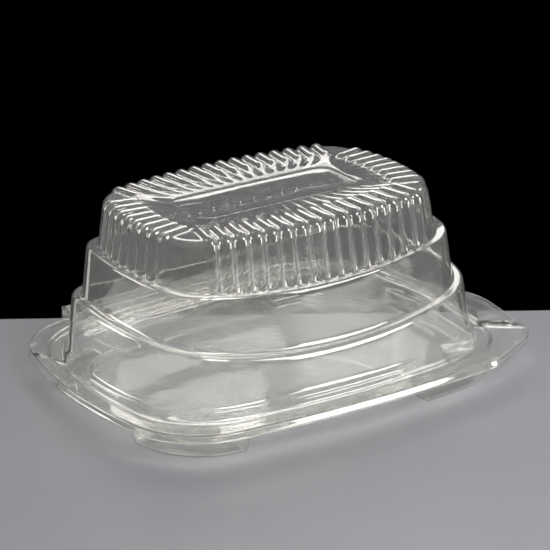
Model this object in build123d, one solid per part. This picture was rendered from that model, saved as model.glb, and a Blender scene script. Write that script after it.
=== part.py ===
"""Clear thermoformed clamshell pack: base tray, domed lid and fold strip.

Units are mm, +Z is up. X runs along the pack, -Y is the front, the fold is at
the back. The pack is drawn about the middle of its rim, with heights from the
underside of the tray's wall; at the end everything is moved so that the origin
is on the resting plane, under the middle of the whole pack.
"""
import math
import os

from build123d import *

# ---- sheet and clearances ----
SHEET = 0.4            # thickness of the formed sheet
NEST_GAP = 0.3         # play between the lid's plug ring and the tray wall
FLANGE_GAP = 0.1       # between the two flanges where the lid rests
FOLD_GAP = 0.1         # between the fold strip and each leaf
STRIP_END_GAP = 0.4    # the strip is shorter than the leaves by this at each end

# ---- rim, the size that the rest follows ----
RIM_A = 100.0          # half length of the flange
RIM_B = 80.2           # half width of the flange
RIM_CORNER = 36.0      # corner radius of the flange
RIM_BOW_L = 600.0      # radius of the bowed long sides
RIM_BOW_S = 225.0      # radius of the bowed short sides
FLANGE_Z = 13.4        # top of the tray's flange
FLANGE_WIDTH = 5.6     # flat part of the flange at the ends
LIP_DROP = 2.5         # lip turned down round the tray's flange
LIP_FLARE = 1.2        # and how far it leans out

# ---- tray ----
TRAY_A = RIM_A - FLANGE_WIDTH
TRAY_B = RIM_B - FLANGE_WIDTH - 1.4
TRAY_CORNER = 38.0
TRAY_DRAFT = 1.3       # lean of the tray wall from floor to flange
FLOOR_Z = 5.0          # underside of the tray floor between the feet
SOLE_Z = -1.2          # underside of the feet
FOOT_LEFT = 54.0       # the left feet start this far from the middle, lengthwise
FOOT_RIGHT = 38.0      # the right feet are longer
FOOT_Y = 34.0          # and all feet start this far out sideways
FOOT_WIDE = 17.0       # width of a foot, from the tray wall inwards
FOOT_DRAFT = 0.7       # how far a foot's sole is inside its top

# ---- lid, lower tier ----
LOW_TOP_A, LOW_TOP_B, LOW_TOP_CORNER = 84.5, 61.6, 33.0
LOW_SPREAD = 3.3       # the foot of the wall is wider than its top by this all round
LOW_BOW_L, LOW_BOW_S = 330.0, 135.0
LOW_FOOT_Z = 16.2      # small step round the foot of the wall
LOW_STEP = 1.0         # height of that step
LOW_END_Z = 43.8       # height of the lower ledge at the ends
LOW_SAG = 10.5         # and how much lower it is in the middle
FOOT_FLARE = 2.5       # the sheet below the step is wider by this much
STEP_OUT = 1.8         # and the step itself stands out this far

# ---- lid, middle tier ----
MID_A, MID_B, MID_CORNER = 76.3, 53.6, 22.5
MID_BOW_L, MID_BOW_S = 260.0, 160.0
MID_DRAFT = math.tan(math.radians(7.5))
MID_END_Z = 65.0
MID_SAG = 5.8
MID_ROUND = 1.2        # radius of the middle ledge's edge, clear of the ribs

# ---- lid, crown ----
TOP_A, TOP_B, TOP_CORNER = 68.9, 46.9, 15.8
TOP_BOW_L, TOP_BOW_S = 260.0, 105.0
TOP_Z = 85.0
TOP_DRAFT = math.tan(math.radians(9.0))
SHOULDER = 3.4         # radius of the crown's shoulder
LEDGE_ROUND = 2.6      # radius of the lower ledge's outer edge
PANEL_A, PANEL_B = 41.0, 15.5    # recessed panel in the top
PANEL_DEPTH = 1.0
PANEL_CORNER = 6.0

# ---- lid, ribs round the crown ----
RIB_LONG = 16          # on each long side
RIB_SHORT = 8          # on each short side
RIB_PITCH = 7.0
RIB_R = 2.5            # radius of a rib's round back
RIB_SUNK = 0.8         # depth of its centre below the wall
RIB_RUN_LONG = 17.0    # run over the top, long sides
RIB_RUN_SHORT = 15.0   # run over the top, short sides
RIB_DIVE = 60.0        # degrees through which its inner end turns down

# ---- lid flange, plug ring and pull tab ----
PLUG_DROP = 1.6        # the ring's floor is this far below the flange
TAB_POINTS = [(98.0, 24.0), (111.0, -12.0), (102.5, -61.0), (70.0, -78.4)]
TAB_ROUND_SIDE = 30.0
TAB_ROUND_TIP = 7.0
TAB_STEP = 1.0         # the tray's tab is smaller than the lid's all round

# ---- fold at the back ----
FOLD_HALF = 61.0       # half length of the fold
FOLD_BACK_Y = 85.6     # outer face of the strip, where both folds turn
FOLD_LOW_Z = 10.5      # lower fold line
FOLD_HIGH_Z = 16.5     # upper fold line
LEAF_RISE_Y = 82.6     # outer face of the riser between flange and leaf

LID_FLANGE_Z = FLANGE_Z + FLANGE_GAP     # underside of the lid's flange


def quadrant(a, b, corner, bow_l, bow_s):
    """Corner circle centre and the two tangent points of one quadrant."""
    cy0 = b - bow_l
    cx0 = a - bow_s
    d_l = bow_l - corner
    d_s = bow_s - corner
    span = math.hypot(cx0, cy0)
    along = (d_l ** 2 - d_s ** 2 + span ** 2) / (2 * span)
    off = math.sqrt(max(d_l ** 2 - along ** 2, 0.0))
    ux, uy = cx0 / span, -cy0 / span
    cx = ux * along + uy * off
    cy = cy0 + uy * along - ux * off
    if cx < 0 or cy < 0:
        cx = ux * along - uy * off
        cy = cy0 + uy * along + ux * off
    k_l = bow_l / math.hypot(cx, cy - cy0)
    k_s = bow_s / math.hypot(cx - cx0, cy)
    p_long = (cx * k_l, cy0 + (cy - cy0) * k_l)
    p_short = (cx0 + (cx - cx0) * k_s, cy * k_s)
    return (cx, cy), p_long, p_short


def outline(size, z, grow=0.0):
    """Flat face: a rectangle with bowed sides and round corners."""
    a, b, corner, bow_l, bow_s = [v + grow for v in size]
    (cx, cy), (lx, ly), (sx, sy) = quadrant(a, b, corner, bow_l, bow_s)
    mid = math.atan2(ly - cy + sy - cy, lx - cx + sx - cx)
    mx = cx + corner * math.cos(mid)
    my = cy + corner * math.sin(mid)
    edges = []
    for qx, qy in ((1, 1), (-1, -1)):
        edges.append(ThreePointArc((-lx * qx, ly * qy, z), (0, b * qy, z), (lx * qx, ly * qy, z)))
        edges.append(ThreePointArc((lx * qx, ly * qy, z), (mx * qx, my * qy, z), (sx * qx, sy * qy, z)))
        edges.append(ThreePointArc((sx * qx, sy * qy, z), (a * qx, 0, z), (sx * qx, -sy * qy, z)))
        edges.append(ThreePointArc((sx * qx, -sy * qy, z), (mx * qx, -my * qy, z), (lx * qx, -ly * qy, z)))
    return make_face(Wire(edges))


def block(size_low, z_low, size_high, z_high, grow_low=0.0, grow_high=0.0):
    """Solid between two outlines."""
    return loft([outline(size_low, z_low, grow_low), outline(size_high, z_high, grow_high)], ruled=True)


def plan_box(x0, x1, y0, y1, z0, z1):
    return Pos((x0 + x1) / 2, (y0 + y1) / 2, (z0 + z1) / 2) * Box(x1 - x0, y1 - y0, z1 - z0)


RIM = (RIM_A, RIM_B, RIM_CORNER, RIM_BOW_L, RIM_BOW_S)
TRAY = (TRAY_A, TRAY_B, TRAY_CORNER, RIM_BOW_L - 6.0, RIM_BOW_S - 4.0)
LOW_TOP = (LOW_TOP_A, LOW_TOP_B, LOW_TOP_CORNER, LOW_BOW_L, LOW_BOW_S)
LOW_FOOT = tuple(v + LOW_SPREAD for v in LOW_TOP)
MID = (MID_A, MID_B, MID_CORNER, MID_BOW_L, MID_BOW_S)
TOP = (TOP_A, TOP_B, TOP_CORNER, TOP_BOW_L, TOP_BOW_S)


def bow_cutter(half, sag, end_z, drop):
    """Big cylinder above an arched ledge, lower in the middle than at the ends."""
    radius = (half ** 2 + sag ** 2) / (2 * sag)
    centre_z = end_z - sag + radius
    return Pos(0, 0, centre_z) * Rot(90, 0, 0) * Cylinder(radius + drop, 400)


def top_edges(solid, z_min):
    """Edges round the arched or flat top of a tier."""
    top = max(solid.faces(), key=lambda f: f.area if f.center().Z > z_min else 0)
    return top.edges()


def tiers(inset):
    """Outer form of the dome for inset 0, its hollow for inset = sheet."""
    grow = -inset
    z0 = LID_FLANGE_Z - PLUG_DROP - (0.0 if inset == 0 else 1.0)
    step_z = LOW_FOOT_Z - 0.8 * inset
    foot = block(LOW_FOOT, z0, LOW_FOOT, step_z, FOOT_FLARE + grow, STEP_OUT + grow)
    skirt = block(LOW_FOOT, step_z, LOW_FOOT, step_z + LOW_STEP, STEP_OUT + grow, grow)
    low = block(LOW_FOOT, step_z + LOW_STEP, LOW_TOP, LOW_END_Z + 4, grow, grow)
    low = low - bow_cutter(LOW_TOP_A, LOW_SAG, LOW_END_Z, inset)
    low = fillet(top_edges(low, 25), LEDGE_ROUND - inset)
    mid_z = 26.0
    mid = block(MID, mid_z, MID, MID_END_Z + 4,
                (MID_END_Z - mid_z) * MID_DRAFT + grow, -4 * MID_DRAFT + grow)
    mid = mid - bow_cutter(MID_A, MID_SAG, MID_END_Z, inset)
    mid = fillet(top_edges(mid, 45), MID_ROUND - inset)
    top_z = 52.0
    top = block(TOP, top_z, TOP, TOP_Z - inset, (TOP_Z - top_z) * TOP_DRAFT + grow, grow)
    top = fillet(top_edges(top, 70), SHOULDER - inset)
    panel = Pos(0, 0, TOP_Z - inset) * extrude(
        RectangleRounded(2 * (PANEL_A + inset), 2 * (PANEL_B + inset), PANEL_CORNER + inset),
        -PANEL_DEPTH, taper=20)
    return foot + skirt + low + mid + (top - panel)


def wall_point(size, grow, x=None, y=None):
    """Point and outward normal on an outline, at a given X (long side) or Y (short side)."""
    a, b, corner, bow_l, bow_s = [v + grow for v in size]
    if x is not None:
        ang = math.asin(x / bow_l)
        return (x, b - bow_l + bow_l * math.cos(ang)), (math.sin(ang), math.cos(ang))
    ang = math.asin(y / bow_s)
    return (a - bow_s + bow_s * math.cos(ang), y), (math.cos(ang), math.sin(ang))


def rib(point, normal, run, radius):
    """One round rib up the wall, over the shoulder and in along the top."""
    tilt = math.atan(TOP_DRAFT)
    bend = SHOULDER - RIB_SUNK
    # profile in the (out, up) plane, out = 0 at the wall line at TOP_Z
    start = (math.tan(tilt) * (TOP_Z - 56.0) - RIB_SUNK / math.cos(tilt), 56.0)
    high = TOP_Z - RIB_SUNK
    turn = math.radians(90) - tilt
    corner_out = math.tan(tilt) * (TOP_Z - high) - RIB_SUNK / math.cos(tilt)
    cut = bend * math.tan(turn / 2)
    p1 = (corner_out + cut * math.sin(tilt), high - cut * math.cos(tilt))
    p3 = (corner_out - cut, high)
    centre = (p3[0], high - bend)
    mid_ang = math.radians(90) - turn / 2
    p2 = (centre[0] + bend * math.cos(mid_ang), centre[1] + bend * math.sin(mid_ang))
    p4 = (-run + RIB_R, high)
    dive = math.radians(RIB_DIVE)
    dive_r = RIB_R + 0.15
    p5 = (p4[0] - dive_r * math.sin(dive / 2), high - dive_r * (1 - math.cos(dive / 2)))
    p6 = (p4[0] - dive_r * math.sin(dive), high - dive_r * (1 - math.cos(dive)))

    def place(p):
        return (point[0] + normal[0] * p[0], point[1] + normal[1] * p[0], p[1])

    path = Wire([
        Line(place(start), place(p1)),
        ThreePointArc(place(p1), place(p2), place(p3)),
        Line(place(p3), place(p4)),
        ThreePointArc(place(p4), place(p5), place(p6)),
    ])
    plane = Plane(origin=place(start), z_dir=path % 0)
    return sweep(plane * Circle(radius), path=path)


def ribs(radius):
    """All ribs round the crown."""
    out = []
    for k in range(RIB_LONG):
        x = (k - (RIB_LONG - 1) / 2) * RIB_PITCH
        point, normal = wall_point(TOP, 0.0, x=x)
        for s in (1, -1):
            out.append(rib((point[0], s * point[1]), (normal[0], s * normal[1]), RIB_RUN_LONG, radius))
    for k in range(RIB_SHORT):
        y = (k - (RIB_SHORT - 1) / 2) * RIB_PITCH
        point, normal = wall_point(TOP, 0.0, y=y)
        for s in (1, -1):
            out.append(rib((s * point[0], point[1]), (s * normal[0], normal[1]), RIB_RUN_SHORT, radius))
    return out


def tab_outline(smaller):
    """Flat face of the pull tab, reaching back under the flange."""
    face = make_face(Polyline(*TAB_POINTS, (50, -50), (60, 20), close=True))
    for (px, py), radius in ((TAB_POINTS[1], TAB_ROUND_SIDE), (TAB_POINTS[2], TAB_ROUND_TIP)):
        corner = min(face.vertices(), key=lambda v: math.hypot(v.X - px, v.Y - py))
        face = fillet(corner, radius)
    if smaller > 0:
        face = offset(face, amount=-smaller)
    return face


def make_lid():
    outer = tiers(0.0).fuse(*ribs(RIB_R))
    inner = tiers(SHEET).fuse(*ribs(RIB_R - SHEET))
    top_of_flange = LID_FLANGE_Z + SHEET
    plate = extrude(outline(RIM, LID_FLANGE_Z), SHEET)
    tab = Pos(0, 0, LID_FLANGE_Z) * extrude(tab_outline(0.0), SHEET)
    wide = plan_box(-FOLD_HALF, FOLD_HALF, 70, LEAF_RISE_Y, LID_FLANGE_Z, top_of_flange)
    riser = plan_box(-FOLD_HALF, FOLD_HALF, LEAF_RISE_Y - SHEET, LEAF_RISE_Y, LID_FLANGE_Z, FOLD_HIGH_Z)
    leaf = plan_box(-FOLD_HALF, FOLD_HALF, LEAF_RISE_Y - SHEET, FOLD_BACK_Y - SHEET - FOLD_GAP,
                    FOLD_HIGH_Z - SHEET, FOLD_HIGH_Z)
    ring_low = LID_FLANGE_Z - PLUG_DROP
    high = -SHEET - NEST_GAP
    low = high - 1.0
    plug = block(TRAY, ring_low, TRAY, top_of_flange, low, high)
    void = block(TRAY, ring_low + SHEET, TRAY, top_of_flange + 0.5, low - SHEET, high - SHEET)
    rim = plate + tab + wide + riser + leaf + plug - void
    return rim + outer - inner


def make_base():
    top = FLANGE_Z
    lip_z = top - LIP_DROP
    flange = block(RIM, lip_z, RIM, top, LIP_FLARE, 0.0)
    under = block(RIM, lip_z - 0.5, RIM, top - SHEET, LIP_FLARE + 0.2 - SHEET, -SHEET)
    back = plan_box(-FOLD_HALF, FOLD_HALF, 60, 100, lip_z - 1, top - SHEET)
    tab = Pos(0, 0, lip_z) * extrude(tab_outline(TAB_STEP), LIP_DROP)
    tab_in = Pos(0, 0, lip_z - 0.5) * extrude(tab_outline(TAB_STEP + SHEET), LIP_DROP + 0.5 - SHEET)
    shell = (flange + tab) - under - back - tab_in
    wide = plan_box(-FOLD_HALF, FOLD_HALF, 70, LEAF_RISE_Y, top - SHEET, top)
    riser = plan_box(-FOLD_HALF, FOLD_HALF, LEAF_RISE_Y - SHEET, LEAF_RISE_Y, FOLD_LOW_Z, top)
    leaf = plan_box(-FOLD_HALF, FOLD_HALF, LEAF_RISE_Y - SHEET, FOLD_BACK_Y - SHEET - FOLD_GAP,
                    FOLD_LOW_Z, FOLD_LOW_Z + SHEET)
    tray = block(TRAY, FLOOR_Z, TRAY, top, -TRAY_DRAFT, 0.0)
    hollow = block(TRAY, FLOOR_Z + SHEET, TRAY, top + 1, -TRAY_DRAFT - SHEET, -SHEET + 0.19)
    foot_top = FLOOR_Z + 1.0
    high = -TRAY_DRAFT - 0.2
    low = high - FOOT_DRAFT
    core_low = low - FOOT_WIDE
    foot = block(TRAY, SOLE_Z, TRAY, foot_top, low, high)
    foot = foot - block(TRAY, SOLE_Z - 1, TRAY, foot_top + 1, core_low, core_low - FOOT_DRAFT)
    well = block(TRAY, SOLE_Z + SHEET, TRAY, foot_top, low - SHEET, high - SHEET)
    well = well - block(TRAY, SOLE_Z - 1, TRAY, foot_top + 1, core_low + SHEET, core_low - FOOT_DRAFT + SHEET)
    outer = shell + wide + riser + leaf + tray
    for sx, foot_x in ((1, FOOT_RIGHT), (-1, FOOT_LEFT)):
        for sy in (1, -1):
            xs = sorted((sx * foot_x, sx * 120))
            ys = sorted((sy * FOOT_Y, sy * 120))
            outer = outer + (foot & plan_box(*xs, *ys, SOLE_Z - 1, foot_top))
            xs = sorted((sx * (foot_x + SHEET), sx * 120))
            ys = sorted((sy * (FOOT_Y + SHEET), sy * 120))
            hollow = hollow + (well & plan_box(*xs, *ys, SOLE_Z - 1, foot_top))
    return outer - hollow


def make_strip():
    half = FOLD_HALF - STRIP_END_GAP
    return plan_box(-half, half, FOLD_BACK_Y - SHEET, FOLD_BACK_Y, FOLD_LOW_Z, FOLD_HIGH_Z)


os.makedirs("parts", exist_ok=True)
NODES = {
    "base_tray": make_base(),
    "hinge_strip": make_strip(),
    "lid": make_lid(),
}

boxes = [shape.bounding_box() for shape in NODES.values()]
MIDDLE_X = (min(b.min.X for b in boxes) + max(b.max.X for b in boxes)) / 2
MIDDLE_Y = (min(b.min.Y for b in boxes) + max(b.max.Y for b in boxes)) / 2
print("moved by", -MIDDLE_X, -MIDDLE_Y, -SOLE_Z)

for name, shape in NODES.items():
    shape = Pos(-MIDDLE_X, -MIDDLE_Y, -SOLE_Z) * shape
    export_step(shape, "parts/" + name + ".step")
    box = shape.bounding_box()
    print(name, "solids", len(shape.solids()), "volume", round(shape.volume), "box", box.min, box.max)
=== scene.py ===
# %% [markdown]
# A clear plastic clamshell pack: a shallow tray on four corner feet, a tall lid
# in three tiers with a ribbed crown, and a narrow fold strip along the back.
# The whole pack is one vacuum-formed sheet about 0.4 mm thick. The CAD model is
# loaded first and stays fixed; everything below is placed from its boxes.

# %% Load the frame
import math
import bpy
import numpy as np
from mathutils import Matrix, Vector


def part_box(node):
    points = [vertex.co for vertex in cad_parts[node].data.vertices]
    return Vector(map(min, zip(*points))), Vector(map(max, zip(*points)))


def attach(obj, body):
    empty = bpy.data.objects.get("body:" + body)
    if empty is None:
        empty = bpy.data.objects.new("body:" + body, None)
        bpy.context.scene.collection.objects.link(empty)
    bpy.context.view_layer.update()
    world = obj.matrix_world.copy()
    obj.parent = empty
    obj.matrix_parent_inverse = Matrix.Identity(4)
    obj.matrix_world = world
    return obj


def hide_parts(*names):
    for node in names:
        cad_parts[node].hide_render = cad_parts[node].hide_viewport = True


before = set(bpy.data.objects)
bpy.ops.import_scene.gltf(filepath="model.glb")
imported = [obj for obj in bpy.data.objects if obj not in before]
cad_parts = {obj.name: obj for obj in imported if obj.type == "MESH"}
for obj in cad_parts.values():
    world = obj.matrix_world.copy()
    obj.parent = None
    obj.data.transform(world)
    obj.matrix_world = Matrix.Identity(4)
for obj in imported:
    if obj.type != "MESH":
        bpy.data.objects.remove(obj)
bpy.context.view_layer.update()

# %% [markdown]
# The sheet is drawn about the middle of its rim. The CAD model's origin is under
# the middle of the whole pack instead, so the step between the two is read from
# the CAD boxes once and added to every mesh.

# %% From the drawing to the frame
lid_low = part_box("lid")[0]
strip_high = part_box("hinge_strip")[1]
tray_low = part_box("base_tray")[0]
SOLE_Z = -1.2                                # underside of the feet in the drawing, mm
MOVE = np.array([lid_low[0] + 0.1000, strip_high[1] - 0.0856, tray_low[2] - SOLE_Z * 0.001])
print("drawing moved by", (MOVE * 1000).round(2), "mm")

# %% [markdown]
# A formed sheet is easiest to think of as a set of rings. Each ring is the same
# plan shape, a rectangle with bowed sides and round corners, at its own size and
# height. All sizes here are in millimetres and match the CAD model's own names.

# %% Sizes of the sheet
SHEET = 0.4
RIM = (100.0, 80.2, 36.0, 600.0, 225.0)      # half length, half width, corner, two bows
TRAY = (94.4, 73.2, 38.0, 594.0, 221.0)
LOW_FOOT = (87.8, 64.9, 36.3, 333.3, 138.3)
LOW_TOP = (84.5, 61.6, 33.0, 330.0, 135.0)
MID = (76.3, 53.6, 22.5, 260.0, 160.0)
TOP = (68.9, 46.9, 15.8, 260.0, 105.0)
PANEL = (41.0, 15.5, 6.0, 3000.0, 3000.0)
TOP_Z, PANEL_Z = 85.0, 84.0
MID_END_Z = 65.0                             # height of the middle wall's top at the ends
LEDGE_HIGH = (76.3, 5.8, MID_END_Z)               # half length, sag, height at the ends
LEDGE_LOW = (84.5, 10.5, 43.8)
TOP_DRAFT = math.tan(math.radians(9.0))
MID_DRAFT = math.tan(math.radians(7.5))
FLANGE_Z = 13.4                              # top of the tray's flange
LID_FLANGE_Z = 13.9                          # top of the lid's flange
print("sheet", SHEET, "mm, crown", 2 * TOP[0], "by", 2 * TOP[1], "mm")

# %% [markdown]
# Every ring is cut into the same columns, so that column 5 of one ring joins
# column 5 of the next. A column is a place along the ring: which side or corner
# it is on, and how far along that side. The same place can then be found on a
# ring of any size.

# %% Rings and columns
def corner_of(size):
    """Corner circle centre and the half angles of the long and short bows."""
    a, b, r, bow_l, bow_s = size
    span = math.hypot(a - bow_s, b - bow_l)
    d_l, d_s = bow_l - r, bow_s - r
    along = (d_l ** 2 - d_s ** 2 + span ** 2) / (2 * span)
    off = math.sqrt(max(d_l ** 2 - along ** 2, 0.0))
    ux, uy = (a - bow_s) / span, -(b - bow_l) / span
    options = [(ux * along + s * uy * off, b - bow_l + uy * along - s * ux * off) for s in (1, -1)]
    cx, cy = max(options, key=lambda c: min(c))
    return cx, cy, math.atan2(cx, cy - (b - bow_l)), math.atan2(cy, cx - (a - bow_s))


def ring_lengths(size):
    """Lengths of a short side, a corner and a long side of a ring."""
    _, _, half_l, half_s = corner_of(size)
    return 2 * size[4] * half_s, size[2] * (math.pi / 2 - half_l - half_s), 2 * size[3] * half_l


def ring(size, columns, grow=0.0):
    """Plan points and outward directions of a ring at the given columns."""
    size = tuple(v + grow for v in size)
    a, b, r, bow_l, bow_s = size
    cx, cy, half_l, half_s = corner_of(size)
    points = np.zeros((len(columns), 2))
    out = np.zeros((len(columns), 2))
    for i, (piece, t) in enumerate(columns):
        flip = -1.0 if piece >= 4 else 1.0
        kind = piece % 4
        if kind == 0:
            ang = (2 * t - 1) * half_s
            p = (a - bow_s + bow_s * math.cos(ang), bow_s * math.sin(ang))
        elif kind == 1:
            ang = half_s + t * (math.pi / 2 - half_l - half_s)
            p = (cx + r * math.cos(ang), cy + r * math.sin(ang))
        elif kind == 2:
            ang = math.pi / 2 + (2 * t - 1) * half_l
            p = (bow_l * math.cos(ang), b - bow_l + bow_l * math.sin(ang))
        else:
            ang = math.pi / 2 + half_l + t * (math.pi / 2 - half_l - half_s)
            p = (-cx + r * math.cos(ang), cy + r * math.sin(ang))
        points[i] = flip * p[0], flip * p[1]
        out[i] = flip * math.cos(ang), flip * math.sin(ang)
    return points, out


def columns_from(stops, size):
    """Turn lengths along half a ring into (piece, fraction) pairs for the whole ring."""
    short, corner, long_ = ring_lengths(size)
    ends = [short, short + corner, short + corner + long_, short + 2 * corner + long_]
    found = []
    for s in stops:
        low = 0.0
        for piece, high in enumerate(ends):
            if s < high - 1e-6 or piece == 3:
                found.append((piece, min((s - low) / (high - low), 1.0)))
                break
            low = high
    return found + [(p + 4, t) for p, t in found]


# %% [markdown]
# Where two straight runs of the sheet meet, the mould has a radius. Rather than
# modelling each radius by hand, one helper takes three rings, the run before,
# the corner and the run after, and swaps the sharp corner for an arc.

# %% Rounding helper
def rounded(before, corner, after, radius, steps):
    """Rows that replace the sharp row `corner` by an arc of the given radius."""
    u = before - corner
    v = after - corner
    lu = np.linalg.norm(u, axis=1, keepdims=True)
    lv = np.linalg.norm(v, axis=1, keepdims=True)
    u, v = u / lu, v / lv
    cosine = np.clip((u * v).sum(1, keepdims=True), -0.99999, 0.99999)
    half = np.arccos(cosine) / 2
    reach = np.minimum(radius / np.tan(half), 0.48 * np.minimum(lu, lv))
    r = reach * np.tan(half)
    middle = u + v
    middle /= np.linalg.norm(middle, axis=1, keepdims=True)
    centre = corner + middle * r / np.sin(half)
    a = corner + u * reach - centre
    b = corner + v * reach - centre
    sweep = math.pi - 2 * half
    rows = []
    for k in range(steps + 1):
        t = k / steps
        w = (np.sin((1 - t) * sweep) * a + np.sin(t * sweep) * b) / np.sin(sweep)
        rows.append(centre + w)
    return rows


def skin_rows(stations):
    """Rows of a whole skin from stations (row, radius, arc steps, rows added before it)."""
    rows = []
    for i, (row, radius, steps, extra) in enumerate(stations):
        new = [row]
        if radius > 0 and 0 < i < len(stations) - 1:
            new = rounded(stations[i - 1][0], row, stations[i + 1][0], radius, steps)
        if rows:
            last = rows[-1]
            for k in range(1, extra + 1):
                rows.append(last + (new[0] - last) * k / (extra + 1))
        rows += new
    return rows


def at_height(points, z):
    return np.column_stack([points, np.broadcast_to(z, len(points))])


# %% [markdown]
# A skin has no thickness yet. The wall is given its 0.4 mm afterwards by copying
# every point along its own normal and joining the two skins at their edges. Both
# skins then have matching normals, which matters for clear plastic: light that
# enters and leaves through parallel faces goes straight on, as in the real pack.

# %% Skin and wall helpers
def grid_mesh(name, rows):
    """Mesh of one skin: rows from the middle outwards, closed round each ring, moved to the frame."""
    n, m = len(rows), len(rows[0])
    points = np.concatenate(rows)
    i = np.arange(n - 1)[:, None] * m
    j = np.arange(m)[None, :]
    k = (j + 1) % m
    quads = np.stack([i + j, i + m + j, i + m + k, i + k], axis=-1).reshape(-1, 4)
    cap = list(range(m))
    mesh = bpy.data.meshes.new(name)
    mesh.from_pydata((points * 0.001 + MOVE).tolist(), [], quads.tolist() + [cap])
    mesh.update()
    return mesh, (n, m)


def thick_piece(name, mesh, shape, thickness, up=True):
    """Closed wall: the skin, a copy moved inwards along its normals, and an edge strip."""
    n, m = shape
    count = len(mesh.vertices)
    co = np.empty(count * 3)
    mesh.vertices.foreach_get("co", co)
    co = co.reshape(-1, 3)
    normals = np.empty(count * 3)
    mesh.vertex_normals.foreach_get("vector", normals)
    normals = normals.reshape(-1, 3)
    if (normals[:m, 2].mean() > 0) != up:
        normals = -normals
    inner = co - normals * thickness * 0.001
    i = np.arange(n - 1)[:, None] * m
    j = np.arange(m)[None, :]
    k = (j + 1) % m
    quads = np.stack([i + j, i + m + j, i + m + k, i + k], axis=-1).reshape(-1, 4)
    under = quads[:, ::-1] + count
    edge = (n - 1) * m + np.arange(m)
    edge_next = (n - 1) * m + (np.arange(m) + 1) % m
    strip = np.stack([edge, edge + count, edge_next + count, edge_next], axis=-1)
    cap = list(range(m))
    faces = quads.tolist() + under.tolist() + strip.tolist()
    faces += [cap, [v + count for v in reversed(cap)]]
    wall = bpy.data.meshes.new(name)
    wall.from_pydata(np.concatenate([co, inner]).tolist(), [], faces)
    wall.update()
    wall.shade_smooth()
    piece = bpy.data.objects.new(name, wall)
    bpy.context.scene.collection.objects.link(piece)
    volume = sum(p.area for p in wall.polygons) * 0.5 * thickness * 1e-3
    print(name, "points", len(wall.vertices), "faces", len(wall.polygons),
          "about", round(volume * 1e6, 1), "cm3")
    return piece


# %% [markdown]
# The lid's two ledges are not flat. Seen from the front each one sags in the
# middle and climbs towards the ends, like a shallow smile, because the tiers are
# cut by a large cylinder. The height of a ledge is therefore a function of X.

# %% Arched ledges
def ledge_height(x, ledge):
    half, sag, end_z = ledge
    radius = (half ** 2 + sag ** 2) / (2 * sag)
    return end_z - sag + radius - np.sqrt(radius ** 2 - x ** 2)


def on_ledge(size, columns, ledge, wall_z, draft):
    """Ring where a leaning wall meets an arched ledge: its size depends on its own height."""
    points, out = ring(size, columns)
    z = ledge_height(points[:, 0], ledge)
    for _ in range(3):
        moved = points + out * ((wall_z - z) * draft)[:, None]
        z = ledge_height(moved[:, 0], ledge)
    return at_height(moved, z)


print("upper ledge", round(float(ledge_height(0.0, LEDGE_HIGH)), 1), "to", LEDGE_HIGH[2], "mm high")

# %% [markdown]
# The crown has sixteen ribs on each long side and eight on each short side, at a
# pitch of 7 mm. Columns are packed closely across each rib and loosely over the
# plain corners, so the ribs come out round without wasting faces elsewhere.

# %% Columns of the lid
RIB_PITCH, RIB_RADIUS, RIB_SUNK = 7.0, 2.5, 0.8
RIBS_LONG, RIBS_SHORT = 16, 8
RUN_LONG, RUN_SHORT = 16.6, 14.8             # how far a rib runs over the top
ACROSS = (-2.42, -2.1, -1.6, -0.85, 0.0, 0.85, 1.6, 2.1, 2.42, 3.5)


def rib_stops(count, bow, middle):
    """Lengths along the ring for the columns of one side's ribs."""
    stops = []
    for k in range(count):
        centre = bow * math.asin((k - (count - 1) / 2) * RIB_PITCH / bow)
        stops += [middle + centre + a for a in ACROSS]
    return stops


short_len, corner_len, long_len = ring_lengths(TOP)
half_turn = short_len + 2 * corner_len + long_len
short_stops = rib_stops(RIBS_SHORT, TOP[4], short_len / 2)
long_stops = rib_stops(RIBS_LONG, TOP[3], short_len + corner_len + long_len / 2)
CORNER_STEP = 0.95


def fill_between(a, b):
    n = max(int((b - a) / CORNER_STEP), 1)
    return [a + (b - a) * k / n for k in range(1, n)]


stops = sorted(short_stops + long_stops + fill_between(short_stops[-1], long_stops[0])
               + fill_between(long_stops[-1], half_turn + short_stops[0]))
lid_columns = columns_from(stops, TOP)
print("columns round the lid", len(lid_columns))

# %% [markdown]
# The lid's flange is wider in two places: a pull tab runs out to a rounded point
# at the front right corner, and at the back a straight bead is raised for the
# fold. Both are reached by pushing the flange's outer ring outwards column by
# column until it meets the wanted outline.

# %% Flange edge with pull tab and fold bead
TAB = [(98.0, 24.0), (106.8, 0.0), (109.4, -9.5), (109.2, -19.0), (106.6, -36.0), (103.6, -54.5),
       (102.3, -58.8), (99.0, -62.7), (92.0, -66.5), (81.0, -72.4), (70.0, -78.4)]
FOLD_HALF, RISER_Y, LEAF_Y = 61.0, 82.6, 85.1
LID_LEAF_Z = 16.5


def reach_to(points, out, outline):
    """How far each point must move along its direction to meet the outline."""
    reach = np.zeros(len(points))
    for (ax, ay), (bx, by) in zip(outline[:-1], outline[1:]):
        ex, ey = bx - ax, by - ay
        det = out[:, 0] * -ey + out[:, 1] * ex
        det = np.where(np.abs(det) < 1e-9, 1e-9, det)
        rx, ry = ax - points[:, 0], ay - points[:, 1]
        t = (rx * -ey + ry * ex) / det
        s = (out[:, 0] * ry - out[:, 1] * rx) / det
        reach = np.where((s >= 0) & (s <= 1) & (t > 0) & (t < 25), np.maximum(reach, t), reach)
    return reach


def soften(values, passes):
    for _ in range(passes):
        values = 0.25 * np.roll(values, 1) + 0.5 * values + 0.25 * np.roll(values, -1)
    return values


def fold_share(points):
    """1 on the columns that carry the fold bead at the back, else 0."""
    return ((points[:, 1] > 0) & (np.abs(points[:, 0]) < FOLD_HALF - 0.6)).astype(float)


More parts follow.
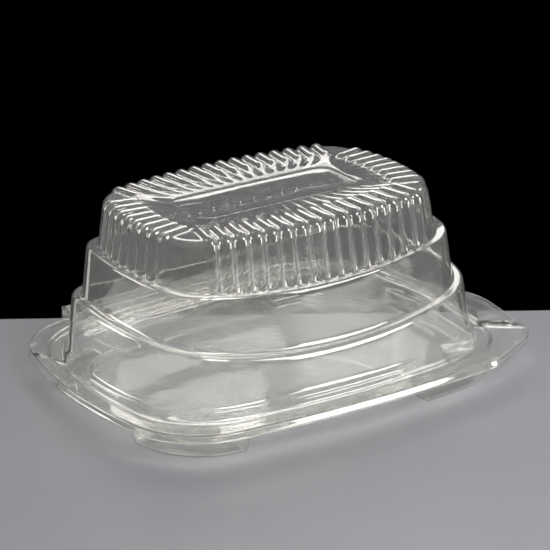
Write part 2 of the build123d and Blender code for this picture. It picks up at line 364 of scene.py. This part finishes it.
rim_points, rim_out = ring(RIM, lid_columns)
tab_reach = soften(reach_to(rim_points, rim_out, TAB), 3)
print("pull tab reaches", round(float(tab_reach.max()), 1), "mm past the rim")

# %% [markdown]
# Now the lid's upper skin, from the middle of the top to the edge of the flange.
# Each station below is one sharp corner of the section, with the radius the
# mould gives it. The ribs are left out here and raised afterwards by a rule.

# %% Stations of the lid
c = lid_columns
panel = ring(PANEL, c)[0]
fold = fold_share(rim_points)[:, None]
to_back = np.column_stack([rim_points[:, 0], np.full(len(c), RISER_Y)])
edge_plan = rim_points + rim_out * tab_reach[:, None]
edge_plan = edge_plan * (1 - fold) + to_back * fold
shrunk = edge_plan - rim_out * 0.7
inner_edge = shrunk * (1 - fold) + to_back * fold
middle_edge = (edge_plan - rim_out * 0.35) * (1 - fold) + to_back * fold
leaf_end = edge_plan * (1 - fold) + np.column_stack([rim_points[:, 0], np.full(len(c), LEAF_Y)]) * fold
raised = LID_FLANGE_Z + (LID_LEAF_Z - LID_FLANGE_Z) * fold[:, 0]
CHANNEL_Z = 12.3                             # floor of the channel inside the flange
SHOULDER, MID_ROUND, LEDGE_ROUND = 3.4, 1.2, 2.6
STEP_TOP_Z, STEP_Z, STEP_OUT, FOOT_FLARE = 17.2, 16.2, 1.8, 2.5
CROWN_INNER = -15.6                          # the crown's ring where the ribs end

lid_stations = [
    (at_height(panel * 0.03, PANEL_Z), 0, 0, 0),
    (at_height(panel, PANEL_Z), 0.6, 2, 2),
    (at_height(ring(PANEL, c, 0.7)[0], TOP_Z), 0.6, 2, 0),
    (at_height(ring(TOP, c, CROWN_INNER)[0], TOP_Z), 0, 0, 1),
    (at_height(ring(TOP, c)[0], TOP_Z), SHOULDER, 6, 11),
    (on_ledge(TOP, c, LEDGE_HIGH, TOP_Z, TOP_DRAFT), 1.3, 3, 6),
    (on_ledge(MID, c, LEDGE_HIGH, MID_END_Z, MID_DRAFT), MID_ROUND, 4, 0),
    (on_ledge(MID, c, LEDGE_LOW, MID_END_Z, MID_DRAFT), 1.5, 3, 5),
    (at_height(ring(LOW_TOP, c)[0], ledge_height(ring(LOW_TOP, c)[0][:, 0], LEDGE_LOW)), LEDGE_ROUND, 5, 1),
    (at_height(ring(LOW_FOOT, c)[0], STEP_TOP_Z), 1.6, 3, 6),
    (at_height(ring(LOW_FOOT, c, STEP_OUT)[0], STEP_Z), 0.9, 3, 0),
    (at_height(ring(LOW_FOOT, c, FOOT_FLARE)[0], CHANNEL_Z), 0.9, 3, 1),
    (at_height(ring(TRAY, c, -2.1)[0], CHANNEL_Z), 0.5, 2, 0),
    (at_height(ring(TRAY, c, -1.1)[0], LID_FLANGE_Z), 0.5, 2, 0),
    (at_height(inner_edge, LID_FLANGE_Z), 0, 0, 2),
    (at_height(middle_edge, raised), 0, 0, 0),
    (at_height(leaf_end, raised), 0, 0, 0),
]
lid_rows = skin_rows(lid_stations)
lid_skin, lid_shape = grid_mesh("lid_skin", lid_rows)
print("lid skin", lid_shape, "rows and columns")

# %% [markdown]
# A rib is a round bar lying half sunk in the wall. Its height above the wall is
# known from one number, the distance to the rib's centre line, so a Geometry
# Nodes tree can raise all forty-eight at once. The distance is stored on the
# points first; near a rib's inner end it is the distance to its last point,
# which rounds the end off like a ball.

# %% Distance to the nearest rib
def rib_lines():
    """(point, outward direction, run over the top) of every rib."""
    found = []
    for k in range(RIBS_LONG):
        ang = math.asin((k - (RIBS_LONG - 1) / 2) * RIB_PITCH / TOP[3])
        p = np.array([TOP[3] * math.sin(ang), TOP[1] - TOP[3] + TOP[3] * math.cos(ang)])
        n = np.array([math.sin(ang), math.cos(ang)])
        found += [(p, n, RUN_LONG), (p * (1, -1), n * (1, -1), RUN_LONG)]
    for k in range(RIBS_SHORT):
        ang = math.asin((k - (RIBS_SHORT - 1) / 2) * RIB_PITCH / TOP[4])
        p = np.array([TOP[0] - TOP[4] + TOP[4] * math.cos(ang), TOP[4] * math.sin(ang)])
        n = np.array([math.cos(ang), math.sin(ang)])
        found += [(p, n, RUN_SHORT), (p * (-1, 1), n * (-1, 1), RUN_SHORT)]
    return found


plan = np.concatenate(lid_rows)[:, :2]
height = np.concatenate(lid_rows)[:, 2]
nearest = np.full(len(plan), 99.0)
for p, n, run in rib_lines():
    d = plan - p
    along = d @ n
    across = d[:, 0] * n[1] - d[:, 1] * n[0]
    beyond = np.maximum(-along - (run - RIB_RADIUS), 0.0)
    distance = np.where(along < 9.0, np.hypot(across, beyond), 99.0)
    nearest = np.minimum(nearest, distance)
ledge_here = ledge_height(plan[:, 0], LEDGE_HIGH)
fade = np.clip((height - ledge_here - 0.1) / 0.9, 0.0, 1.0)
lid_skin.attributes.new("rib_distance", "FLOAT", "POINT").data.foreach_set("value", nearest)
lid_skin.attributes.new("rib_share", "FLOAT", "POINT").data.foreach_set("value", fade)
print("points on ribs", int((nearest < RIB_RADIUS).sum()))

# %% [markdown]
# The tree itself. Inputs are the rib's radius and how deep its centre is sunk,
# in millimetres. Height = square root of (radius squared minus distance squared)
# minus the sunk depth, never below zero, and each point moves that far along its
# normal. The tree ends in Realize Instances and Set Material.

# %% Rib tree
def rib_tree(material):
    tree = bpy.data.node_groups.new("raise_ribs", "GeometryNodeTree")
    tree.interface.new_socket("Geometry", in_out="INPUT", socket_type="NodeSocketGeometry")
    radius = tree.interface.new_socket("Rib Radius", in_out="INPUT", socket_type="NodeSocketFloat")
    sunk = tree.interface.new_socket("Rib Sunk", in_out="INPUT", socket_type="NodeSocketFloat")
    tree.interface.new_socket("Geometry", in_out="OUTPUT", socket_type="NodeSocketGeometry")
    nodes, links = tree.nodes, tree.links

    def maths(operation, a, b=None):
        node = nodes.new("ShaderNodeMath")
        node.operation = operation
        for socket, value in zip(node.inputs, (a, b)):
            if isinstance(value, (int, float)):
                socket.default_value = value
            elif value is not None:
                links.new(value, socket)
        return node.outputs[0]

    def named(attribute):
        node = nodes.new("GeometryNodeInputNamedAttribute")
        node.data_type = "FLOAT"
        node.inputs["Name"].default_value = attribute
        return node.outputs["Attribute"]

    start = nodes.new("NodeGroupInput")
    distance = named("rib_distance")
    square = maths("MULTIPLY", start.outputs["Rib Radius"], start.outputs["Rib Radius"])
    left = maths("MAXIMUM", maths("SUBTRACT", square, maths("MULTIPLY", distance, distance)), 0.0)
    raised_by = maths("MAXIMUM", maths("SUBTRACT", maths("SQRT", left), start.outputs["Rib Sunk"]), 0.0)
    shared = maths("MULTIPLY", raised_by, named("rib_share"))
    metres = maths("MULTIPLY", shared, 0.001)
    scale = nodes.new("ShaderNodeVectorMath")
    scale.operation = "SCALE"
    links.new(nodes.new("GeometryNodeInputNormal").outputs["Normal"], scale.inputs[0])
    links.new(metres, scale.inputs["Scale"])
    move = nodes.new("GeometryNodeSetPosition")
    links.new(start.outputs["Geometry"], move.inputs["Geometry"])
    links.new(scale.outputs["Vector"], move.inputs["Offset"])
    real = nodes.new("GeometryNodeRealizeInstances")
    links.new(move.outputs["Geometry"], real.inputs["Geometry"])
    paint = nodes.new("GeometryNodeSetMaterial")
    paint.inputs["Material"].default_value = material
    links.new(real.outputs["Geometry"], paint.inputs["Geometry"])
    end = nodes.new("NodeGroupOutput")
    links.new(paint.outputs["Geometry"], end.inputs["Geometry"])
    return tree, radius.identifier, sunk.identifier


# %% [markdown]
# Before the tree can set a material, the material has to exist. Clear PET is a
# smooth, slightly grey-green plastic with an index of refraction near 1.57. A
# real pack is never perfect: forming leaves soft waves, handling leaves faint
# scuffs and specks of dust. One shared node group gives those values from the
# object's own coordinates; each material feeds them to its own shader.

# %% Shared wear group
def wear_group():
    group = bpy.data.node_groups.new("handled_sheet", "ShaderNodeTree")
    sockets = group.interface
    wave = sockets.new_socket("Wave Scale", in_out="INPUT", socket_type="NodeSocketFloat")
    scuff = sockets.new_socket("Scuff Scale", in_out="INPUT", socket_type="NodeSocketFloat")
    low = sockets.new_socket("Smooth", in_out="INPUT", socket_type="NodeSocketFloat")
    high = sockets.new_socket("Scuffed", in_out="INPUT", socket_type="NodeSocketFloat")
    wave.default_value, scuff.default_value, low.default_value, high.default_value = 45.0, 220.0, 0.03, 0.2
    sockets.new_socket("Roughness", in_out="OUTPUT", socket_type="NodeSocketFloat")
    sockets.new_socket("Waves", in_out="OUTPUT", socket_type="NodeSocketFloat")
    sockets.new_socket("Dust", in_out="OUTPUT", socket_type="NodeSocketFloat")
    nodes, links = group.nodes, group.links
    start, end = nodes.new("NodeGroupInput"), nodes.new("NodeGroupOutput")
    place = nodes.new("ShaderNodeTexCoord").outputs["Object"]

    def noise(scale, detail, rough=0.5):
        node = nodes.new("ShaderNodeTexNoise")
        links.new(place, node.inputs["Vector"])
        if isinstance(scale, float):
            node.inputs["Scale"].default_value = scale
        else:
            links.new(scale, node.inputs["Scale"])
        node.inputs["Detail"].default_value = detail
        node.inputs["Roughness"].default_value = rough
        return node.outputs["Fac"]

    def spread(value, a, b, to_a, to_b):
        node = nodes.new("ShaderNodeMapRange")
        links.new(value, node.inputs["Value"])
        for name, v in (("From Min", a), ("From Max", b), ("To Min", to_a), ("To Max", to_b)):
            if isinstance(v, (int, float)):
                node.inputs[name].default_value = v
            else:
                links.new(v, node.inputs[name])
        return node.outputs["Result"]

    patches = noise(start.outputs["Scuff Scale"], 5.0, 0.6)
    links.new(spread(patches, 0.48, 0.75, start.outputs["Smooth"], start.outputs["Scuffed"]),
              end.inputs["Roughness"])
    links.new(noise(start.outputs["Wave Scale"], 2.0), end.inputs["Waves"])
    specks = nodes.new("ShaderNodeTexVoronoi")
    links.new(place, specks.inputs["Vector"])
    specks.inputs["Scale"].default_value = 260.0
    spot = spread(specks.outputs["Distance"], 0.035, 0.06, 1.0, 0.0)
    chosen = nodes.new("ShaderNodeMath")
    chosen.operation = "GREATER_THAN"
    split = nodes.new("ShaderNodeSeparateColor")
    links.new(specks.outputs["Color"], split.inputs["Color"])
    links.new(split.outputs["Red"], chosen.inputs[0])
    chosen.inputs[1].default_value = 0.9
    both = nodes.new("ShaderNodeMath")
    both.operation = "MULTIPLY"
    links.new(spot, both.inputs[0])
    links.new(chosen.outputs[0], both.inputs[1])
    links.new(both.outputs[0], end.inputs["Dust"])
    return group


handled_sheet = wear_group()

# %% [markdown]
# The shader is a Principled BSDF with almost full transmission. Cycles treats clear
# plastic as a solid block for lamps, which would leave a black shadow, so for
# shadow rays the material is a Transparent BSDF instead: the pack then throws
# the thin, light shadow that real packs have.

# %% Clear sheet material
def clear_sheet(name, tint, smooth, scuffed, wave_strength, shade):
    mat = bpy.data.materials.new(name)
    mat.use_nodes = True
    nodes, links = mat.node_tree.nodes, mat.node_tree.links
    shader = nodes["Principled BSDF"]
    shader.inputs["IOR"].default_value = 1.57
    shader.inputs["Transmission Weight"].default_value = 0.985
    shader.inputs["Metallic"].default_value = 0.0
    wear = nodes.new("ShaderNodeGroup")
    wear.node_tree = handled_sheet
    wear.inputs["Wave Scale"].default_value = 42.0
    wear.inputs["Scuff Scale"].default_value = 130.0
    wear.inputs["Smooth"].default_value = smooth
    wear.inputs["Scuffed"].default_value = scuffed
    links.new(wear.outputs["Roughness"], shader.inputs["Roughness"])
    colour = nodes.new("ShaderNodeMix")
    colour.data_type = "RGBA"
    colour.inputs["A"].default_value = (*tint, 1.0)
    colour.inputs["B"].default_value = (1.0, 1.0, 0.98, 1.0)
    links.new(wear.outputs["Dust"], colour.inputs["Factor"])
    links.new(colour.outputs["Result"], shader.inputs["Base Color"])
    bump = nodes.new("ShaderNodeBump")
    bump.inputs["Strength"].default_value = wave_strength
    bump.inputs["Distance"].default_value = 0.001
    links.new(wear.outputs["Waves"], bump.inputs["Height"])
    links.new(bump.outputs["Normal"], shader.inputs["Normal"])
    clear = nodes.new("ShaderNodeBsdfTransparent")
    clear.inputs["Color"].default_value = (*shade, 1.0)
    path = nodes.new("ShaderNodeLightPath")
    mix = nodes.new("ShaderNodeMixShader")
    links.new(path.outputs["Is Shadow Ray"], mix.inputs["Fac"])
    links.new(shader.outputs["BSDF"], mix.inputs[1])
    links.new(clear.outputs["BSDF"], mix.inputs[2])
    links.new(mix.outputs["Shader"], nodes["Material Output"].inputs["Surface"])
    return mat


lid_plastic = clear_sheet("lid_plastic", (0.965, 0.965, 0.95), 0.02, 0.14, 0.06, (0.78, 0.78, 0.77))
tray_plastic = clear_sheet("tray_plastic", (0.95, 0.955, 0.93), 0.04, 0.18, 0.1, (0.74, 0.74, 0.73))
fold_plastic = clear_sheet("fold_plastic", (0.94, 0.945, 0.92), 0.06, 0.25, 0.2, (0.82, 0.82, 0.81))
print("materials", lid_plastic.name, tray_plastic.name, fold_plastic.name)

# %% Raise the ribs and give the lid its wall
tree, radius_id, sunk_id = rib_tree(lid_plastic)
skin = bpy.data.objects.new("lid_skin", lid_skin)
bpy.context.scene.collection.objects.link(skin)
modifier = skin.modifiers.new("ribs", "NODES")
modifier.node_group = tree
modifier[radius_id] = RIB_RADIUS
modifier[sunk_id] = RIB_SUNK
depsgraph = bpy.context.evaluated_depsgraph_get()
ribbed = bpy.data.meshes.new_from_object(skin.evaluated_get(depsgraph))
skin.modifiers.remove(modifier)
bpy.data.objects.remove(skin)
lid = thick_piece("clear_lid", ribbed, lid_shape, SHEET)
lid.data.materials.append(lid_plastic)
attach(lid, "lid")
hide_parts("lid")

# %% [markdown]
# The tray is made the same way, from its own rings. Its floor drops at the four
# corners to form hollow feet. The drop is switched on by two masks, one along
# the ring and one from the wall inwards, each with a short slope for the mould's
# draft.

# %% Columns and masks of the tray
t_short, t_corner, t_long = ring_lengths(TRAY)
t_stops = list(np.linspace(0, t_short, 46)[:-1])
t_stops += list(t_short + np.linspace(0, t_corner, 34)[:-1])
t_stops += list(t_short + t_corner + np.linspace(0, t_long, 76)[:-1])
t_stops += list(t_short + t_corner + t_long + np.linspace(0, t_corner, 34)[:-1])
FOOT_LEFT, FOOT_RIGHT, FOOT_Y, FOOT_SLOPE = -54.0, 38.0, 34.0, 1.0
middle = t_short + t_corner + t_long / 2
for k in range(5):
    step = (k - 2) * FOOT_SLOPE / 2
    t_stops += [t_short / 2 + y + step for y in (-FOOT_Y, FOOT_Y)]
    t_stops += [middle + x + step for x in (FOOT_LEFT, FOOT_RIGHT, -FOOT_LEFT, -FOOT_RIGHT)]
tray_columns = columns_from(sorted(t_stops), TRAY)
t = tray_columns
floor_points = ring(TRAY, t, -1.7)[0]
foot_x = np.maximum(FOOT_LEFT - floor_points[:, 0], floor_points[:, 0] - FOOT_RIGHT)
foot_x = np.clip(foot_x / FOOT_SLOPE + 0.5, 0, 1)
foot_y = np.clip((np.abs(floor_points[:, 1]) - FOOT_Y) / FOOT_SLOPE + 0.5, 0, 1)
foot = np.minimum(foot_x, foot_y)
foot = foot * foot * (3 - 2 * foot)
print("columns round the tray", len(t), "of which on feet", int((foot > 0.5).sum()))

# %% Stations of the tray
FLOOR_TOP, SOLE_TOP = 5.4, SOLE_Z + SHEET
FLOOR_EDGE, SOLE_EDGE = -1.7, -2.6           # rings of the floor's and the soles' edges
TAB_STEP = 1.0                               # the tray's tab is smaller than the lid's
floor_z = FLOOR_TOP + (SOLE_TOP - FLOOR_TOP) * foot
foot_share = foot[:, None]
sole_edge = ring(TRAY, t, FLOOR_EDGE)[0] * (1 - foot_share) + ring(TRAY, t, SOLE_EDGE)[0] * foot_share
tray_rim, tray_out = ring(RIM, t)
t_fold = fold_share(tray_rim)[:, None]
t_reach = soften(np.maximum(reach_to(tray_rim, tray_out, TAB) - TAB_STEP, 0.0), 2)[:, None]
on_tab = np.clip(t_reach / 3.0, 0, 1)
t_back = np.column_stack([tray_rim[:, 0], np.full(len(t), RISER_Y)])
t_leaf = np.column_stack([tray_rim[:, 0], np.full(len(t), LEAF_Y)])
t_edge = tray_rim + tray_out * t_reach
flare = tray_out * (1 - 0.7 * on_tab)
lip_low = (t_edge + flare * 0.85) * (1 - t_fold) + t_back * t_fold
lip_curl = (t_edge + flare * 1.2) * (1 - t_fold) + t_leaf * t_fold
LIP_Z = 10.95
tray_stations = [
    (at_height(ring(TRAY, t, -36.5)[0] * 0.03, FLOOR_TOP), 0, 0, 0),
    (at_height(ring(TRAY, t, -36.5)[0], FLOOR_TOP), 0, 0, 4),
    (at_height(ring(TRAY, t, -20.2)[0], FLOOR_TOP), 0.8, 2, 3),
    (at_height(ring(TRAY, t, -19.0)[0], floor_z), 0.8, 2, 0),
    (at_height(sole_edge, floor_z), 1.3, 4, 7),
    (at_height(ring(TRAY, t, -0.4)[0], FLANGE_Z), 0.6, 3, 5),
    (at_height(t_edge * (1 - t_fold) + t_back * t_fold, FLANGE_Z), 0.7, 4, 3),
    (at_height(lip_low, LIP_Z), 0.3, 2, 1),
    (at_height(lip_curl, LIP_Z), 0, 0, 0),
]
tray_rows = skin_rows(tray_stations)
tray_skin, tray_shape = grid_mesh("tray_skin", tray_rows)
tray = thick_piece("clear_tray", tray_skin, tray_shape, SHEET)
tray.data.materials.append(tray_plastic)
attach(tray, "base")
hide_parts("base_tray")

# %% [markdown]
# The fold strip is a plain narrow band of the same sheet. Its CAD shape is
# already right, so it stays and only takes the material.

# %% Fold strip material
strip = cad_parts["hinge_strip"]
for s in strip.material_slots:
    s.material = fold_plastic
print("fold strip slots", len(strip.material_slots))

# %% [markdown]
# The set: a pale grey table with a soft gloss that ends a short way behind the
# pack, and darkness beyond it. Clear plastic shows mostly what it mirrors, so
# the world is dark to the eye and to rays that pass through the pack, yet gives
# a soft studio glow to rays that are mirrored.

# %% Table
def table_material():
    mat = bpy.data.materials.new("table_top")
    mat.use_nodes = True
    nodes, links = mat.node_tree.nodes, mat.node_tree.links
    shader = nodes["Principled BSDF"]
    grain = nodes.new("ShaderNodeTexNoise")
    grain.inputs["Scale"].default_value = 14.0
    grain.inputs["Detail"].default_value = 6.0
    links.new(nodes.new("ShaderNodeTexCoord").outputs["Object"], grain.inputs["Vector"])
    colour = nodes.new("ShaderNodeMix")
    colour.data_type = "RGBA"
    colour.inputs["A"].default_value = (0.165, 0.175, 0.2, 1.0)
    colour.inputs["B"].default_value = (0.19, 0.2, 0.225, 1.0)
    links.new(grain.outputs["Fac"], colour.inputs["Factor"])
    links.new(colour.outputs["Result"], shader.inputs["Base Color"])
    gloss = nodes.new("ShaderNodeMapRange")
    gloss.inputs["To Min"].default_value = 0.42
    gloss.inputs["To Max"].default_value = 0.55
    links.new(grain.outputs["Fac"], gloss.inputs["Value"])
    links.new(gloss.outputs["Result"], shader.inputs["Roughness"])
    return mat


table_mesh = bpy.data.meshes.new("table_top")
shift = Vector((MOVE[0], MOVE[1]))
far_left, far_right = Vector((-0.0724, 0.1282)) + shift, Vector((0.1483, -0.0143)) + shift
run = (far_right - far_left).normalized()
front = Vector((-0.49, -0.795)).normalized()
a, b = far_left - run * 1.2, far_right + run * 1.2
corners = [a, a + front * 1.6, b + front * 1.6, b]
table_mesh.from_pydata([(p.x, p.y, z) for z in (0.0, -0.02) for p in corners], [],
                       [(0, 1, 2, 3), (7, 6, 5, 4), (0, 4, 5, 1), (1, 5, 6, 2), (2, 6, 7, 3), (3, 7, 4, 0)])
table = bpy.data.objects.new("table_top", table_mesh)
bpy.context.scene.collection.objects.link(table)
table_mesh.materials.append(table_material())

# %% World
world = bpy.data.worlds.new("studio")
bpy.context.scene.world = world
world.use_nodes = True
wn, wl = world.node_tree.nodes, world.node_tree.links
glow = wn["Background"]
direction = wn.new("ShaderNodeTexCoord").outputs["Generated"]
height_of = wn.new("ShaderNodeSeparateXYZ")
wl.new(direction, height_of.inputs["Vector"])
ramp = wn.new("ShaderNodeValToRGB")
ramp.color_ramp.elements[0].position, ramp.color_ramp.elements[0].color = 0.0, (0.04, 0.042, 0.045, 1)
ramp.color_ramp.elements[1].position, ramp.color_ramp.elements[1].color = 0.9, (0.3, 0.31, 0.33, 1)
wl.new(height_of.outputs["Z"], ramp.inputs["Fac"])
wl.new(ramp.outputs["Color"], glow.inputs["Color"])
dark = wn.new("ShaderNodeBackground")
dark.inputs["Color"].default_value = (0, 0, 0, 1)
rays = wn.new("ShaderNodeLightPath")
pick = wn.new("ShaderNodeMixShader")
wl.new(rays.outputs["Is Glossy Ray"], pick.inputs["Fac"])
wl.new(dark.outputs["Background"], pick.inputs[1])
wl.new(glow.outputs["Background"], pick.inputs[2])
wl.new(pick.outputs["Shader"], wn["World Output"].inputs["Surface"])

# %% [markdown]
# Four soft boxes. A wide one high behind draws the bright lines along the
# ledges and the rim, a low one at the front right is mirrored in the ribbed
# wall, one at the left lights that end, and one above the front lights the table.

# %% Lamps
def soft_box(name, place, aim, size, watts, colour=(1.0, 0.97, 0.93)):
    light = bpy.data.lights.new(name, "AREA")
    light.shape = "RECTANGLE"
    light.size, light.size_y = size
    light.energy = watts
    light.color = colour
    lamp = bpy.data.objects.new(name, light)
    lamp.location = place
    lamp.rotation_euler = (Vector(aim) - Vector(place)).to_track_quat("-Z", "Y").to_euler()
    bpy.context.scene.collection.objects.link(lamp)
    return lamp


soft_box("back_box", (0.44, 0.72, 0.72), (0, 0, 0.03), (0.9, 0.42), 4.5)
soft_box("front_box", (0.45, -0.80, 0.26), (0, 0, 0.05), (0.34, 0.42), 6.0)
soft_box("left_box", (-0.62, 0.62, 0.32), (0, 0, 0.05), (0.3, 0.45), 2.5)
soft_box("fill_box", (0.02, -0.55, 0.62), (0.0, -0.2, 0.0), (0.35, 0.3), 6.0)

# %% Camera
camera_data = bpy.data.cameras.new("camera")
camera_data.lens, camera_data.sensor_width = 167.4, 36.0
camera_data.clip_end = 20.0
camera = bpy.data.objects.new("camera", camera_data)
camera.location = Vector((-0.55666, -0.90952, 0.4525)) + Vector(MOVE)
forward = Vector((0.490057, 0.795338, -0.356763))
side = Vector((math.cos(math.radians(-31.47)), math.sin(math.radians(-31.47)), 0.0))
lift = (-forward).cross(side).normalized()
side = lift.cross(-forward).normalized()
ROLL = math.radians(-1.44)
right = side * math.cos(ROLL) + lift * math.sin(ROLL)
up = lift * math.cos(ROLL) - side * math.sin(ROLL)
camera.rotation_mode = "QUATERNION"
camera.rotation_quaternion = Matrix((right, up, -forward)).transposed().to_quaternion()
bpy.context.scene.collection.objects.link(camera)
bpy.context.scene.camera = camera
bpy.context.scene.view_settings.view_transform = "Standard"
bpy.context.scene.cycles.max_bounces = 24
bpy.context.scene.cycles.transmission_bounces = 24
bpy.context.scene.cycles.transparent_max_bounces = 32
bpy.context.scene.cycles.glossy_bounces = 8
